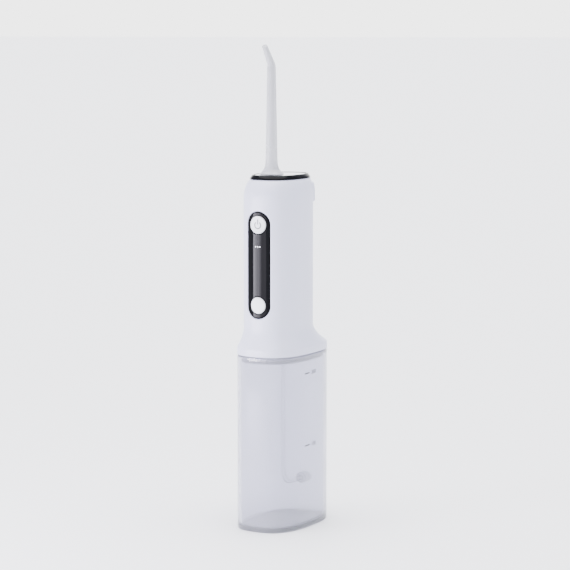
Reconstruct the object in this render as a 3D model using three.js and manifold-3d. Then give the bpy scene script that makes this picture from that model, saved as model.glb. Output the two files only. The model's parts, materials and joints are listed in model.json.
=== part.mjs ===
// A cordless water flosser: a handle with a bent nozzle, standing on its own water tank.
// Millimetres, +Z up. The origin is the centre of the tank's underside, and -Y is the front.

import * as THREE from 'three';
import { mergeVertices } from 'three/addons/utils/BufferGeometryUtils.js';
import Module from 'manifold-3d';

// ---- Driving dimensions ----------------------------------------------------

const GAP = 0.3; // between pieces that touch on the real object
const RING_POINTS = 40; // round the body's sections
const ROUND = 24; // sides of a visible round piece
const SMALL_ROUND = 12; // sides of a hidden round piece

const TANK = { halfX: 21, halfY: 33.2, centreY: 0, power: 2.8 };
const TANK_WALL = 1.8;
const TANK_TOP = 105.5;
const TANK_CORNER = 1.4; // rounding of the bottom edge

const BODY = { halfX: 17.5, halfY: 24.4, centreY: -4.75, power: 2.5 };
const HEAD = { halfX: 14.9, halfY: 21.9, centreY: -2.75, power: 2.5 };
const SHELL_WALL = 2;
const SKIRT_BOTTOM = 105.8;
const SKIRT_TOP = 110.3;
const FLARE_TOP = 122.2;
const FLARE_POWER = 1.7;
const SHOULDER_BOTTOM = 198;
const SHELL_TOP = 210.5;
const SHOULDER_POWER = 2.8;

const TRIM = { low: 210.8, bevel: 212, high: 213.2, width: 2.3, chamfer: 1.3 };
const CAP_TOP = 213;

const PANEL = { halfWidth: 7.5, low: 128.5, high: 192.2, flange: 1.4 };
const POWER_BUTTON = { radius: 5.25, z: 184.4 };
const MODE_BUTTON = { radius: 4.9, z: 136.4 };
const LIGHTS = { z: 171.4, spacing: 1.4, radius: 0.4 };

const RELEASE = { halfX: 15, low: 195.9, high: 207.9, proud: 1.15, front: 9, travel: 0.8 };

const NOZZLE_Y = -12.95;
const NOZZLE_BEND_Z = 276.3;
const NOZZLE_LEAN = Math.PI / 5;
const NOZZLE_TIP_LENGTH = 11.8;
const SEAL_Z = 205; // the nozzle's seal, inside the collet

const SHELF = { low: 126.9, high: 128.2 };
const MOTOR = { y: -10.6, radius: 10.2, halfDepth: 7.7, low: 128.5, high: 158.5 };
const CELL = { y: 8, radius: 9.15, low: 128.6, high: 193.6 };
const BOARD = { halfX: 7.5, back: -21.4, front: -22.6, low: 131.5, high: 191 };

const GEAR = { y: 1.4, teeth: 36, low: 123, high: 126 };
const PINION_TEETH = 12;
const GEAR_MODULE = 0.5;
const CRANK_RADIUS = 3.5;
const ROD_LENGTH = 14;
const PUMP = { z: 117, radius: 5.5, bore: 4.2, front: -26, boreFront: -24, back: -11.5 };
const VALVE_Y = -22.4;
const PISTON_RADIUS = 3.8;
const WRIST_Y = GEAR.y - CRANK_RADIUS - ROD_LENGTH;

const PLATE = { low: 105, high: 106.9, collarLow: 101.5, inset: 2.3 };
const SCREW_PLACES = [[-12, -18.5], [12, -18.5], [-12.5, 12], [12.5, 12]];
const SUCTION = { radius: 1.5, bore: 0.9, z: 109.2, downY: 1.1, filterZ: 23.6 };

const PORT = { halfX: 7, low: 122.7, high: 130.3, thickness: 1.5, corner: 1.8 };

// ---- Materials -------------------------------------------------------------

const COLOURS = {
  tank: [0xd0d1da, 0.35, 0],
  shell: [0xe4e4e9, 0.4, 0],
  nozzle: [0xd8d9dd, 0.3, 0],
  black: [0x141416, 0.12, 0],
  pale: [0xe8e8ea, 0.35, 0],
  inner: [0xc9cbd0, 0.6, 0],
  rubber: [0x2a2b2e, 0.85, 0],
  steel: [0x9a9da2, 0.3, 1],
  brass: [0xb08d4c, 0.35, 1],
  board: [0x1d5a3a, 0.6, 0],
  cell: [0x2f5fa8, 0.4, 0],
  gear: [0xe9e4d2, 0.5, 0],
  light: [0xf2f5ff, 0.3, 0],
  red: [0xb02a26, 0.6, 0],
};

function material(name) {
  const [color, roughness, metalness] = COLOURS[name];
  return new THREE.MeshStandardMaterial({ color, roughness, metalness });
}

// ---- Solids ----------------------------------------------------------------

const wasm = await Module();
wasm.setup();

/** Turns a closed three.js geometry into a solid that can be joined and cut. */
function solid(geometry) {
  const bare = geometry.clone();
  bare.deleteAttribute('normal');
  bare.deleteAttribute('uv');
  const merged = mergeVertices(bare, 1e-4);
  return new wasm.Manifold(new wasm.Mesh({
    numProp: 3,
    vertProperties: new Float32Array(merged.attributes.position.array),
    triVerts: new Uint32Array(merged.index.array),
  }));
}

/** Turns a solid back into a three.js geometry. */
function geometryOf(body) {
  const mesh = body.getMesh();
  const geometry = new THREE.BufferGeometry();
  geometry.setAttribute('position', new THREE.BufferAttribute(new Float32Array(mesh.vertProperties), 3));
  geometry.setIndex(new THREE.BufferAttribute(new Uint32Array(mesh.triVerts), 1));
  geometry.computeVertexNormals();
  return geometry;
}

const join = (first, ...rest) => rest.reduce((body, other) => body.add(other), first);
const cut = (first, ...rest) => rest.reduce((body, other) => body.subtract(other), first);

/** A box between two corners on each axis. */
function box([x0, x1], [y0, y1], [z0, z1]) {
  const geometry = new THREE.BoxGeometry(x1 - x0, y1 - y0, z1 - z0);
  geometry.translate((x0 + x1) / 2, (y0 + y1) / 2, (z0 + z1) / 2);
  return solid(geometry);
}

/** A cylinder along 'y' or 'z' from low to high, through the point at (x, y, z). */
function cylinder(axis, radius, low, high, [x, y, z], sides = SMALL_ROUND) {
  const geometry = new THREE.CylinderGeometry(radius, radius, high - low, sides);
  geometry.translate(0, (low + high) / 2, 0);
  if (axis === 'z') {
    geometry.rotateX(Math.PI / 2);
  }
  geometry.translate(x, y, z);
  return solid(geometry);
}

const upright = (radius, low, high, x, y, sides) => cylinder('z', radius, low, high, [x, y, 0], sides);

/** A seal of round section about the upright axis. */
function roundRing(radius, thickness) {
  return new THREE.TorusGeometry(radius, thickness / 2, 8, SMALL_ROUND);
}

/**
 * Joins rings of points into one closed surface. Each ring turns the same way round, and they follow
 * each other along the piece. A closed loft joins its last ring to its first instead of capping both.
 */
function loft(rings, closed = false) {
  const count = rings[0].length;
  const positions = rings.flat().flatMap((point) => [point.x, point.y, point.z]);
  const faces = [];
  const bands = closed ? rings.length : rings.length - 1;
  for (let band = 0; band < bands; band += 1) {
    const low = band * count;
    const high = ((band + 1) % rings.length) * count;
    for (let i = 0; i < count; i += 1) {
      const next = (i + 1) % count;
      faces.push(low + i, low + next, high + next, low + i, high + next, high + i);
    }
  }
  if (!closed) {
    const last = (rings.length - 1) * count;
    const bottom = positions.length / 3;
    for (const end of [rings[0], rings[rings.length - 1]]) {
      const centre = end.reduce((sum, point) => sum.add(point), new THREE.Vector3()).divideScalar(count);
      positions.push(centre.x, centre.y, centre.z);
    }
    for (let i = 0; i < count; i += 1) {
      const next = (i + 1) % count;
      faces.push(bottom, next, i, bottom + 1, last + i, last + next);
    }
  }
  const geometry = new THREE.BufferGeometry();
  geometry.setAttribute('position', new THREE.Float32BufferAttribute(positions, 3));
  geometry.setIndex(faces);
  return solid(geometry);
}

/** The points of a superellipse section at height z, moved inwards by inset. */
function sectionRing(section, z, inset = 0) {
  const points = [];
  for (let i = 0; i < RING_POINTS; i += 1) {
    const angle = (2 * Math.PI * i) / RING_POINTS;
    const [c, s] = [Math.cos(angle), Math.sin(angle)];
    const x = Math.sign(c) * Math.abs(c) ** (2 / section.power) * (section.halfX - inset);
    const y = Math.sign(s) * Math.abs(s) ** (2 / section.power) * (section.halfY - inset);
    points.push(new THREE.Vector3(x, section.centreY + y, z));
  }
  return points;
}

/** A section part of the way from one to another. */
function between(from, to, share) {
  const mixed = {};
  for (const key of Object.keys(from)) {
    mixed[key] = from[key] + (to[key] - from[key]) * share;
  }
  return mixed;
}

/** The handle's section at height z: skirt, flare, straight body, then the rounded shoulder. */
function handleSection(z) {
  if (z >= SHOULDER_BOTTOM) {
    const share = (z - SHOULDER_BOTTOM) / (SHELL_TOP - SHOULDER_BOTTOM);
    return between(BODY, HEAD, Math.max(0, share) ** SHOULDER_POWER);
  }
  const share = Math.min(1, Math.max(0, (z - SKIRT_TOP) / (FLARE_TOP - SKIRT_TOP)));
  return between(BODY, TANK, (1 - share) ** FLARE_POWER);
}

/** The handle's form between two heights, moved inwards by inset. */
function handleForm(low, high, inset) {
  const heights = [
    SKIRT_TOP, 111.3, 112.7, 115.2, 118.2, FLARE_TOP,
    SHOULDER_BOTTOM, 202, 205, 207.5, 209.2, SHELL_TOP,
  ];
  const chosen = [low, ...heights.filter((z) => z > low + 0.05 && z < high - 0.05), high];
  return loft(chosen.map((z) => sectionRing(handleSection(z), z, inset)));
}

/** A prism of one section, moved inwards by inset. */
function prism(section, low, high, inset = 0) {
  return loft([sectionRing(section, low, inset), sectionRing(section, high, inset)]);
}

/** An upright outline in X and Z, pushed along Y from the front towards the back. */
function frontPrism(shape, front, back, curveSegments = 4) {
  const settings = { depth: back - front, bevelEnabled: false, curveSegments };
  const geometry = new THREE.ExtrudeGeometry(shape, settings);
  geometry.rotateX(Math.PI / 2);
  geometry.translate(0, back, 0);
  return solid(geometry);
}

/** A rectangle with round corners in X and Z. */
function roundedOutline(halfX, low, high, corner) {
  const shape = new THREE.Shape();
  shape.moveTo(halfX, low + corner);
  shape.lineTo(halfX, high - corner);
  shape.absarc(halfX - corner, high - corner, corner, 0, Math.PI / 2);
  shape.lineTo(-halfX + corner, high);
  shape.absarc(-halfX + corner, high - corner, corner, Math.PI / 2, Math.PI);
  shape.lineTo(-halfX, low + corner);
  shape.absarc(-halfX + corner, low + corner, corner, Math.PI, 1.5 * Math.PI);
  shape.lineTo(halfX - corner, low);
  shape.absarc(halfX - corner, low + corner, corner, 1.5 * Math.PI, 2 * Math.PI);
  return shape;
}

/** A tube of round section along a smooth curve through points, hollow when bore is given. */
function tube(points, radius, bore, sides, steps) {
  const shape = new THREE.Shape();
  shape.absarc(0, 0, radius, 0, 2 * Math.PI);
  if (bore) {
    const hole = new THREE.Path();
    hole.absarc(0, 0, bore, 0, 2 * Math.PI, true);
    shape.holes.push(hole);
  }
  const curve = new THREE.CatmullRomCurve3(points.map((point) => new THREE.Vector3(...point)));
  return solid(new THREE.ExtrudeGeometry(shape, {
    steps,
    curveSegments: sides,
    bevelEnabled: false,
    extrudePath: curve,
  }));
}

/** A spur gear of straight-flanked teeth, with a tooth or a gap centred on +Y, and a bore. */
function spurGear(teeth, low, high, bore, toothFirst) {
  const pitch = (teeth * GEAR_MODULE) / 2;
  const tip = pitch + GEAR_MODULE * 0.9;
  const root = pitch - GEAR_MODULE * 1.2;
  const step = (2 * Math.PI) / teeth;
  const start = Math.PI / 2 + (toothFirst ? 0 : step / 2);
  const shape = new THREE.Shape();
  const corners = [[root, -0.36], [tip, -0.13], [tip, 0.13], [root, 0.36]];
  for (let tooth = 0; tooth < teeth; tooth += 1) {
    corners.forEach(([radius, offset], index) => {
      const angle = start + step * (tooth + offset);
      const move = tooth === 0 && index === 0 ? 'moveTo' : 'lineTo';
      shape[move](radius * Math.cos(angle), radius * Math.sin(angle));
    });
  }
  const hole = new THREE.Path();
  hole.absarc(0, 0, bore, 0, 2 * Math.PI, true);
  shape.holes.push(hole);
  const settings = { depth: high - low, bevelEnabled: false, curveSegments: 8 };
  const geometry = new THREE.ExtrudeGeometry(shape, settings);
  geometry.translate(0, 0, low);
  return geometry;
}

// ---- The assembly ----------------------------------------------------------

const flosser = new THREE.Group();

function add(name, body, colour) {
  const mesh = new THREE.Mesh(geometryOf(body), material(colour));
  mesh.name = name;
  flosser.add(mesh);
}

// ---- Tank ------------------------------------------------------------------

function tank() {
  const quarter = [0, 1, 2, 3].map((i) => (Math.PI / 2) * (i / 3));
  const outer = quarter.map((t) => sectionRing(
    TANK,
    TANK_CORNER * (1 - Math.cos(t)),
    TANK_CORNER * (1 - Math.sin(t)),
  ));
  outer.push(sectionRing(TANK, TANK_TOP));
  const corner = 2.5;
  const inner = quarter.map((t) => sectionRing(
    TANK,
    TANK_WALL + corner * (1 - Math.cos(t)),
    TANK_WALL + corner * (1 - Math.sin(t)),
  ));
  inner.push(sectionRing(TANK, TANK_TOP + 1, TANK_WALL));
  return cut(loft(outer), loft(inner));
}

// ---- Handle: shell and what is fixed in its surface ------------------------

function panelOutline(grow) {
  const halfWidth = PANEL.halfWidth + grow;
  return roundedOutline(halfWidth, PANEL.low - grow, PANEL.high + grow, halfWidth - 0.01);
}

function shell() {
  const outside = handleForm(SKIRT_BOTTOM, SHELL_TOP, 0);
  const inside = handleForm(SKIRT_BOTTOM - 1, SHELL_TOP + 1, SHELL_WALL);
  const bosses = SCREW_PLACES.map(([x, y]) => upright(3, PLATE.high + GAP, 118, x, y));
  const body = join(cut(outside, inside), ...bosses.map((boss) => boss.intersect(outside)));
  const screwHoles = SCREW_PLACES.map(([x, y]) => upright(1.5, PLATE.high, 114, x, y));
  const panelWindow = frontPrism(panelOutline(GAP), -40, -15, 10);
  const releaseWindow = box(
    [-RELEASE.halfX - GAP, RELEASE.halfX + GAP],
    [RELEASE.front - RELEASE.travel - GAP, 30],
    [RELEASE.low - GAP, RELEASE.high + GAP],
  );
  const port = roundedOutline(PORT.halfX + GAP, PORT.low - GAP, PORT.high + GAP, PORT.corner);
  return cut(body, panelWindow, releaseWindow, frontPrism(port, 10, 30), ...screwHoles);
}

function trimRing() {
  const { low, bevel, high, width, chamfer } = TRIM;
  return loft([
    sectionRing(HEAD, low),
    sectionRing(HEAD, bevel),
    sectionRing(HEAD, high, chamfer),
    sectionRing(HEAD, high, width),
    sectionRing(HEAD, low, width),
  ], true);
}

function topCap() {
  const plate = prism(HEAD, 210, CAP_TOP, TRIM.width + GAP);
  return cut(plate, upright(4.5, 209, 214, 0, NOZZLE_Y, ROUND));
}

function layer(outline, outer, inner) {
  const skin = cut(
    handleForm(FLARE_TOP + 1, SHOULDER_BOTTOM - 1, outer),
    handleForm(FLARE_TOP, SHOULDER_BOTTOM, inner),
  );
  return skin.intersect(frontPrism(outline, -40, -15, 10));
}

function controlPanel() {
  const wallBack = SHELL_WALL + GAP;
  const flangeBack = wallBack + 0.8;
  const face = layer(panelOutline(0), 0, wallBack + 0.1);
  const flange = layer(panelOutline(PANEL.flange), wallBack, flangeBack);
  const hole = (radius, x, z) => cylinder('y', radius, -40, -15, [x, 0, z], ROUND);
  const lights = [-1, 0, 1].map((i) => hole(LIGHTS.radius + 0.15, i * LIGHTS.spacing, LIGHTS.z));
  return cut(
    join(face, flange),
    hole(POWER_BUTTON.radius + GAP, 0, POWER_BUTTON.z),
    hole(MODE_BUTTON.radius + GAP, 0, MODE_BUTTON.z),
    ...lights,
  );
}

function pushButton({ radius, z }) {
  const flangeFront = SHELL_WALL + GAP + 0.8 + GAP;
  const skin = handleForm(FLARE_TOP + 1, SHOULDER_BOTTOM - 1, -0.25);
  const core = handleForm(FLARE_TOP, SHOULDER_BOTTOM, flangeFront);
  const flangeEnd = handleForm(FLARE_TOP - 1, SHOULDER_BOTTOM + 1, flangeFront + 0.8);
  const front = (r) => cylinder('y', r, -40, -15, [0, 0, z], ROUND);
  const cap = cut(skin, handleForm(FLARE_TOP, SHOULDER_BOTTOM, flangeFront + 0.1)).intersect(front(radius));
  const flange = cut(core, flangeEnd).intersect(front(radius + 0.9));
  return join(cap, flange);
}

function indicator(x) {
  const rod = cylinder('y', LIGHTS.radius, -40, -15, [x, 0, LIGHTS.z], 12);
  const skin = cut(
    handleForm(FLARE_TOP + 1, SHOULDER_BOTTOM - 1, 0),
    handleForm(FLARE_TOP, SHOULDER_BOTTOM, SHELL_WALL + 1),
  );
  return skin.intersect(rod);
}

// ---- Nozzle ----------------------------------------------------------------

/** Stations up the nozzle: place along its centre line, direction and outer radius. */
function nozzleStations() {
  const foot = [[197.2, 2.6], [197.8, 2.6], [198, 2.1], [200, 2.1], [200.2, 2.6],
    [SEAL_Z - 0.6, 2.6], [SEAL_Z - 0.55, 2], [SEAL_Z + 0.55, 2], [SEAL_Z + 0.6, 2.6],
    [213.3, 2.6], [213.35, 7.4], [214.2, 7.2], [215.3, 6], [216.6, 4.8], [219, 4.1],
    [223.9, 3.5], [250, 3.05], [NOZZLE_BEND_Z, 2.6]];
  const stations = foot.map(([z, radius]) => ({ centre: [NOZZLE_Y, z], lean: 0, radius }));
  const bendRadius = 6;
  for (let i = 1; i <= 4; i += 1) {
    const lean = (NOZZLE_LEAN * i) / 4;
    stations.push({
      centre: [
        NOZZLE_Y - bendRadius * (1 - Math.cos(lean)),
        NOZZLE_BEND_Z + bendRadius * Math.sin(lean),
      ],
      lean,
      radius: 2.6 - 0.1 * i,
    });
  }
  const [y, z] = stations[stations.length - 1].centre;
  stations.push({
    centre: [
      y - NOZZLE_TIP_LENGTH * Math.sin(NOZZLE_LEAN),
      z + NOZZLE_TIP_LENGTH * Math.cos(NOZZLE_LEAN),
    ],
    lean: NOZZLE_LEAN,
    radius: 1.6,
  });
  return stations;
}

function nozzle() {
  const sides = 18;
  const ringAt = ({ centre: [y, z], lean, radius }) => Array.from({ length: sides }, (_, i) => {
    const angle = (2 * Math.PI * i) / sides;
    const along = radius * Math.sin(angle);
    return new THREE.Vector3(
      radius * Math.cos(angle),
      y + along * Math.cos(lean),
      z + along * Math.sin(lean),
    );
  });
  const stations = nozzleStations();
  const bore = stations
    .filter(({ radius }, index) => index === 0 || (index > 9 && radius < 4))
    .map((station) => ({ ...station, radius: station.radius > 2 ? 1.1 : 0.45 }));
  return loft([...stations.map(ringAt), ...bore.reverse().map(ringAt)], true);
}

function nozzleSeal() {
  return solid(roundRing(2.42, 0.7).translate(0, NOZZLE_Y, SEAL_Z));
}

function nozzleCollet() {
  return cut(
    upright(4.1, 200.4, 212.9, 0, NOZZLE_Y, ROUND),
    upright(2.9, 200, 214, 0, NOZZLE_Y, ROUND),
  );
}

function nozzleSocket() {
  const body = join(
    upright(6.6, 193.8, 209.7, 0, NOZZLE_Y, ROUND),
    upright(9.5, 208, 209.7, 0, NOZZLE_Y, ROUND),
  );
  return cut(
    body,
    upright(4.4, 200.1, 210, 0, NOZZLE_Y, ROUND),
    upright(3.2, 196.6, 201, 0, NOZZLE_Y, ROUND),
    upright(1.9, 193, 197, 0, NOZZLE_Y, ROUND),
    box([-5.2, 5.2], [-18.7, 0], [197.9, 200.1]),
  );
}

// ---- Release button and latch ----------------------------------------------

function releaseButton() {
  const { halfX, low, high, proud, front } = RELEASE;
  const skin = cut(handleForm(low, high, -proud), handleForm(low - 1, high + 1, 1.5));
  return skin.intersect(box([-halfX, halfX], [front, 30], [low, high]));
}

function latchPlate() {
  const plate = box([-4.9, 4.9], [-17.6, 17.2], [198.2, 199.8]);
  const slot = box([-3.1, 3.1], [-16.4, -8.8], [198, 200]);
  return cut(plate, slot);
}

function releaseSpring(x) {
  const turns = 4;
  const points = [];
  for (let i = 0; i <= turns * 8; i += 1) {
    const angle = (i / 8) * 2 * Math.PI;
    points.push([x + 1.9 * Math.cos(angle), 9.9 + (i / (turns * 8)) * 4.6, 203 + 1.9 * Math.sin(angle)]);
  }
  return tube(points, 0.3, 0, 3, turns * 8);
}

// ---- Drive: motor, gears, rod, piston --------------------------------------

function motorCan() {
  const { y, radius, halfDepth, low, high } = MOTOR;
  const can = upright(radius, low, high, 0, y, ROUND)
    .intersect(box([-radius, radius], [y - halfDepth, y + halfDepth], [low, high]));
  const screwHoles = [-7.5, 7.5].map((x) => upright(1.1, low - 1, 133, x, y, 10));
  const nose = upright(3, SHELF.low + 0.3, low + 1, 0, y);
  return cut(join(can, nose), upright(1.3, 126, 131, 0, y), ...screwHoles);
}

function motorEndCap() {
  const { y, radius, halfDepth, high } = MOTOR;
  const cap = upright(radius - 0.4, high + GAP, high + 2.5, 0, y, ROUND)
    .intersect(box([-radius, radius], [y - halfDepth + 0.3, y + halfDepth - 0.3], [high, high + 3]));
  return join(cap, box([-5.5, -3.5], [y - 0.3, y + 0.3], [high + 1, high + 4.5]),
    box([3.5, 5.5], [y - 0.3, y + 0.3], [high + 1, high + 4.5]));
}

function gearSolid(teeth, { low, high, y }, bore, toothFirst) {
  return solid(spurGear(teeth, low, high, bore, toothFirst).translate(0, y, 0));
}

function crankGear() {
  const gear = gearSolid(GEAR.teeth, GEAR, 1.45, true);
  return join(gear, upright(1.3, PUMP.z + 1.9, GEAR.low + 0.5, 0, GEAR.y - CRANK_RADIUS));
}

function connectingRod() {
  const [low, high] = [PUMP.z - 1.5, PUMP.z + 1.5];
  const crankY = WRIST_Y + ROD_LENGTH;
  const body = join(
    upright(2.2, low, high, 0, WRIST_Y),
    upright(2.9, low, high, 0, crankY),
    box([-1.5, 1.5], [WRIST_Y, crankY], [low, high]),
  );
  return cut(body, upright(1.25, low - 1, high + 1, 0, WRIST_Y), upright(1.6, low - 1, high + 1, 0, crankY));
}

function piston() {
  const [crown, tail] = [WRIST_Y - 6, WRIST_Y + 2.2];
  const body = cylinder('y', PISTON_RADIUS, crown, tail, [0, 0, PUMP.z], 24);
  const grooveCut = cut(
    cylinder('y', 5, crown + 1, crown + 2.6, [0, 0, PUMP.z], 24),
    cylinder('y', 2.6, crown, crown + 3, [0, 0, PUMP.z], 24),
  );
  return cut(
    body,
    grooveCut,
    box([-2.6, 2.6], [WRIST_Y - 2.6, tail + 1], [PUMP.z - 1.8, PUMP.z + 1.8]),
    upright(1.25, PUMP.z - 3.3, PUMP.z + 3.3, 0, WRIST_Y),
  );
}

function pistonSeal() {
  const geometry = roundRing(3.4, 1);
  geometry.rotateX(Math.PI / 2);
  geometry.translate(0, WRIST_Y - 6 + 1.8, PUMP.z);
  return solid(geometry);
}

function pumpCylinder() {
  const { z, radius, bore, front, boreFront, back } = PUMP;
  const feet = [-1, 1].map((side) => box(
    side < 0 ? [-6.5, -3.4] : [3.4, 6.5],
    [-20, -13.5],
    [PLATE.high + GAP, z - 1],
  ));
  const body = join(
    cylinder('y', radius, front, back, [0, 0, z], 24),
    ...feet,
    upright(3, PLATE.high + GAP, z - 3, 0, VALVE_Y),
    upright(3, z + 3, 124.5, 0, VALVE_Y),
  );
  return cut(
    body,
    cylinder('y', bore, boreFront, back + 1, [0, 0, z], 24),
    upright(1.9, 108.4, z, 0, VALVE_Y),
    upright(1.9, z, 125, 0, VALVE_Y),
    cylinder('y', SUCTION.bore, VALVE_Y, VALVE_Y + 4, [0, 0, SUCTION.z], 12),
  );
}

// ---- Water path ------------------------------------------------------------

function suctionTube() {
  const { radius, bore, z, downY, filterZ } = SUCTION;
  const start = VALVE_Y + 3 + GAP;
  return tube([
    [0, start, z], [0, -10, z], [0, downY - 2.6, z], [0, downY - 0.6, z - 0.6], [0, downY, z - 2.6],
    [0, downY, 95], [0, downY, 65], [0, downY, filterZ + 12], [0, downY + 1.6, filterZ + 4.5],
    [0, downY + 6, filterZ + 0.7], [0, downY + 12, filterZ], [0, 22, filterZ],
  ], radius, bore, 4, 34);
}

function suctionFilter() {
  const body = join(
    cylinder('y', 3.4, 22.3, 28.6, [0, 0, SUCTION.filterZ], 20),
    cylinder('y', 2.6, 20.5, 23, [0, 0, SUCTION.filterZ], 20),
  );
  return cut(
    body,
    cylinder('y', SUCTION.radius + GAP, 20, 22.3, [0, 0, SUCTION.filterZ], 20),
    cylinder('y', SUCTION.bore, 20, 27.5, [0, 0, SUCTION.filterZ], 12),
  );
}

function deliveryTube() {
  return tube([
    [0, VALVE_Y, 124.8], [0.2, VALVE_Y, 126.2], [3, VALVE_Y + 0.2, 128.2], [7.4, -20.4, 130],
    [10.8, -17, 133], [12.5, -13.2, 138], [12.7, -11.2, 145], [12.7, -11, 156], [12.5, -11, 166],
    [10, -11.4, 174], [4.5, -12.4, 181], [0.6, -12.95, 187], [0, NOZZLE_Y, 193.5],
  ], 1.6, 0.9, 4, 30);
}

// ---- Base plate, chassis, boards -------------------------------------------

function basePlate() {
  const { low, high, collarLow, inset } = PLATE;
  const body = cut(
    prism(TANK, collarLow, high, inset),
    prism(TANK, collarLow - 1, low, inset + 2),
    cut(prism(TANK, 101.9, 103.9), prism(TANK, 101, 105, inset + 0.8)),
    upright(SUCTION.radius + 2 * GAP, low - 1, high + 1, 0, SUCTION.downY),
    ...SCREW_PLACES.map(([x, y]) => upright(1.5, low - 1, high + 1, x, y)),
  );
  return body;
}

function baseGasket() {
  const [outer, inner] = [TANK_WALL + 0.2, PLATE.inset + 0.6];
  return loft([
    sectionRing(TANK, 102.1, outer),
    sectionRing(TANK, 103.7, outer),
    sectionRing(TANK, 103.7, inner),
    sectionRing(TANK, 102.1, inner),
  ], true);
}

function baseScrew([x, y]) {
  return join(
    upright(2, 103.1, PLATE.low - GAP, x, y),
    upright(1.2, 104, 113, x, y, 12),
  );
}

function motorScrew(x) {
  return join(
    upright(1.7, 125.4, SHELF.low - GAP, x, MOTOR.y),
    upright(0.8, 126, 132, x, MOTOR.y, 10),
  );
}

function chassis() {
  const { low, high } = SHELF;
  const body = join(
    box([-13, 13], [-17.6, 9.6], [low, high]),
    box([-12.5, 12.5], [-2.6, -1.5], [low, 196.5]),
    box([-12, 12], [-2.6, 9.2], [195, 196.5]),
    box([-10, -5.4], [8, 9.2], [195, 206]),
    box([5.4, 10], [8, 9.2], [195, 206]),
    box([-7.5, -4], [-21.1, -17], [low, high]),
    box([-7.5, -4], [-21.1, -18.8], [low, 134]),
    box([-7.5, -4.5], [-21.1, -2], [174, 177]),
  );
  const holes = [-7.5, 7.5].map((x) => upright(1.1, low - 1, high + 1, x, MOTOR.y, 10));
  const leadSlots = [-4.1, 4.1].map((x) => box([x - 0.9, x + 0.9], [-3, -1], [193.4, 195.2]));
  return cut(
    body,
    upright(3.3, low - 1, high + 1, 0, MOTOR.y),
    upright(1.5, low - 1, high + 1, 0, GEAR.y),
    ...holes,
    ...leadSlots,
  );
}

function circuitBoard() {
  const { halfX, back, front, low, high } = BOARD;
  return box([-halfX, halfX], [front, back], [low, high]);
}

function tactSwitch(z) {
  const front = BOARD.front - GAP;
  return join(
    box([-3, 3], [front - 1, front], [z - 3, z + 3]),
    cylinder('y', 1.4, front - 1.4, front, [0, 0, z]),
  );
}

function batteryCell() {
  const { y, radius, low, high } = CELL;
  return join(upright(radius, low, high - 0.8, 0, y, ROUND), upright(3, low, high, 0, y));
}

function chargingSocket() {
  const [low, high] = [124.5, 127.7];
  const body = frontPrism(roundedOutline(4.5, low, high, 1.5), 11.6, 17.2);
  const hollow = frontPrism(roundedOutline(4.1, low + 0.4, high - 0.4, 1.15), 12.4, 18);
  return join(cut(body, hollow), box([-3.2, 3.2], [12, 16.6], [125.8, 126.4]));
}

function portCover() {
  const skin = cut(handleForm(119, 134, 0), handleForm(118, 135, PORT.thickness));
  const outline = roundedOutline(PORT.halfX, PORT.low, PORT.high, PORT.corner);
  return skin.intersect(frontPrism(outline, 10, 30));
}

function motorLead(side) {
  const points = [[4.5, -11.5, 163.4], [4.5, -14, 165], [5, -18, 167], [5, -20.6, 169]];
  return tube(points.map(([x, y, z]) => [side * x, y, z]), 0.55, 0, 3, 12);
}

function batteryLead(side) {
  const points = [
    [4.1, 1.5, 194.3], [4.1, -2, 194.3], [8.2, -9, 194.3], [8.6, -14, 192.5], [6.5, -20.6, 189.5],
  ];
  return tube(points.map(([x, y, z]) => [side * x, y, z]), 0.55, 0, 3, 14);
}

// ---- Everything in its place -----------------------------------------------

add('tank', tank(), 'tank');

add('handle_shell', shell(), 'shell');
add('trim_ring', trimRing(), 'black');
add('top_cap', topCap(), 'pale');
add('control_panel', controlPanel(), 'black');
add('indicator_left', indicator(-LIGHTS.spacing), 'light');
add('indicator_middle', indicator(0), 'light');
add('indicator_right', indicator(LIGHTS.spacing), 'light');
add('power_button', pushButton(POWER_BUTTON), 'pale');
add('mode_button', pushButton(MODE_BUTTON), 'pale');

add('nozzle', nozzle(), 'nozzle');
add('nozzle_seal', nozzleSeal(), 'rubber');
add('nozzle_collet', nozzleCollet(), 'inner');
add('nozzle_socket', nozzleSocket(), 'inner');

add('release_button', releaseButton(), 'shell');
add('latch_plate', latchPlate(), 'inner');
add('release_spring_left', releaseSpring(-7.4), 'steel');
add('release_spring_right', releaseSpring(7.4), 'steel');

add('motor_can', motorCan(), 'steel');
add('motor_end_cap', motorEndCap(), 'rubber');
add('motor_shaft', upright(1, 123.1, 130.6, 0, MOTOR.y, 12), 'steel');
add('pinion', gearSolid(PINION_TEETH, { ...GEAR, y: MOTOR.y }, 1.25, false), 'brass');
add('crank_gear', crankGear(), 'gear');
add('gear_axle', join(upright(1.9, 122.3, 122.7, 0, GEAR.y), upright(1.2, 122.3, 128, 0, GEAR.y)), 'steel');
add('connecting_rod', connectingRod(), 'gear');
add('wrist_pin', upright(1, PUMP.z - 3, PUMP.z + 3, 0, WRIST_Y, 12), 'steel');
add('piston', piston(), 'inner');
add('piston_seal', pistonSeal(), 'rubber');
add('pump_cylinder', pumpCylinder(), 'inner');
add('inlet_valve', upright(1.6, 110.2, 111.2, 0, VALVE_Y), 'rubber');
add('outlet_valve', upright(1.6, 122.6, 123.6, 0, VALVE_Y), 'rubber');
add('delivery_tube', deliveryTube(), 'inner');
add('suction_tube', suctionTube(), 'inner');
add('suction_filter', suctionFilter(), 'inner');

add('base_plate', basePlate(), 'shell');
add('base_gasket', baseGasket(), 'rubber');
SCREW_PLACES.forEach((place, index) => add(`base_screw_${index + 1}`, baseScrew(place), 'steel'));
add('chassis', chassis(), 'inner');
add('motor_screw_left', motorScrew(-7.5), 'steel');
add('motor_screw_right', motorScrew(7.5), 'steel');

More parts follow.
